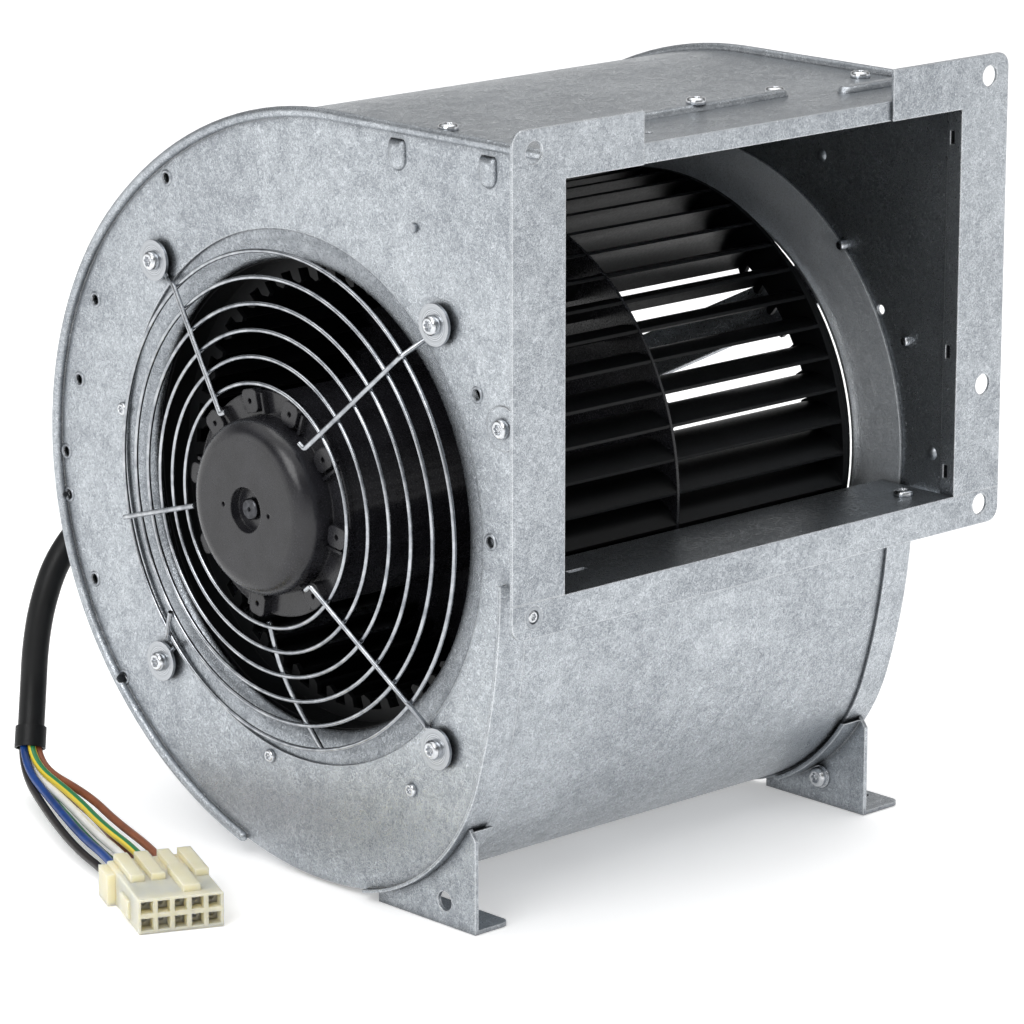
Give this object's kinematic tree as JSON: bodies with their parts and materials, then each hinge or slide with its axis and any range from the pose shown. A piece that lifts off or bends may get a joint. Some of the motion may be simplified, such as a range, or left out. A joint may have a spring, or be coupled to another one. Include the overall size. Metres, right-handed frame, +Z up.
{
  "type": "centrifugal fan",
  "caption": "Double inlet centrifugal fan: galvanised scroll housing on two feet, forward curved wheel on an external rotor motor, wire guard, flanged outlet and a power cord with a plug.",
  "frame": {"origin": "on the floor under the middle of the housing, cord and plug left out", "axes": "+X along the shaft, away from the guarded inlet; air leaves the outlet towards -Y; +Z up"},
  "size_m": [0.327, 0.3129, 0.302],
  "materials": {
    "galvanised_sheet": "satin",
    "galvanised_nozzle": "satin",
    "stainless_wire": "polished",
    "zinc_screws": "polished",
    "wheel_plastic": "matte",
    "rotor_paint": "satin",
    "bearing_steel": "polished",
    "stator_steel": "satin",
    "copper": "gloss",
    "cast_aluminium": "cast",
    "cable_black": "matte",
    "wire_black": "satin",
    "wire_blue": "satin",
    "wire_white": "satin",
    "wire_yellow_green": "satin",
    "wire_green": "satin",
    "wire_brown": "satin",
    "plug_nylon": "satin",
    "plug_brass": "satin"
  },
  "bodies": {
    "housing": {"arm_screws": "zinc_screws", "bearing_balls": "bearing_steel", "bearing_outer_rings": "bearing_steel", "bearing_tube": "cast_aluminium", "cable_clip": "galvanised_sheet", "cable_cuff": "cable_black", "cable_gland": "cable_black", "cable_sheath": "cable_black", "clip_rivet": "zinc_screws", "foot_far": "galvanised_sheet", "foot_near": "galvanised_sheet", "foot_nut": "zinc_screws", "foot_screw": "zinc_screws", "foot_washer": "zinc_screws", "frame_insert": "zinc_screws", "guard_rings": "stainless_wire", "guard_screws": "zinc_screws", "guard_spokes": "stainless_wire", "guard_washers": "zinc_screws", "motor_support": "galvanised_sheet", "nozzle_far": "galvanised_nozzle", "nozzle_near": "galvanised_nozzle", "nozzle_rivets": "zinc_screws", "outlet_frame_far": "galvanised_sheet", "outlet_frame_near": "galvanised_sheet", "outlet_sill": "galvanised_sheet", "pad_screws": "zinc_screws", "plug_housing": "plug_nylon", "plug_terminals": "plug_brass", "roof_screws": "zinc_screws", "scroll_wrapper": "galvanised_sheet", "side_plate_far": "galvanised_sheet", "side_plate_near": "galvanised_sheet", "stator_core": "stator_steel", "stator_windings": "copper", "support_screws": "zinc_screws", "wall_rivets": "zinc_screws", "wire_black": "wire_black", "wire_blue": "wire_blue", "wire_brown_low": "wire_brown", "wire_brown_top": "wire_brown", "wire_green": "wire_green", "wire_white": "wire_white", "wire_yellow_green": "wire_yellow_green"},
    "impeller": {"wheel_near": "wheel_plastic", "wheel_far": "wheel_plastic", "wheel_disc": "rotor_paint", "disc_rivets": "zinc_screws", "rotor_shell": "rotor_paint", "rotor_lugs": "rotor_paint", "rotor_ring": "stator_steel", "motor_shaft": "bearing_steel", "circlip": "zinc_screws", "bearing_inner_rings": "bearing_steel"}
  },
  "joints": [
    {"name": "impeller_spin", "type": "hinge", "parent": "housing", "child": "impeller", "pos_m": [0.0018, -0.0027, 0.1455], "axis": [1, 0, 0], "continuous": true}
  ]
}
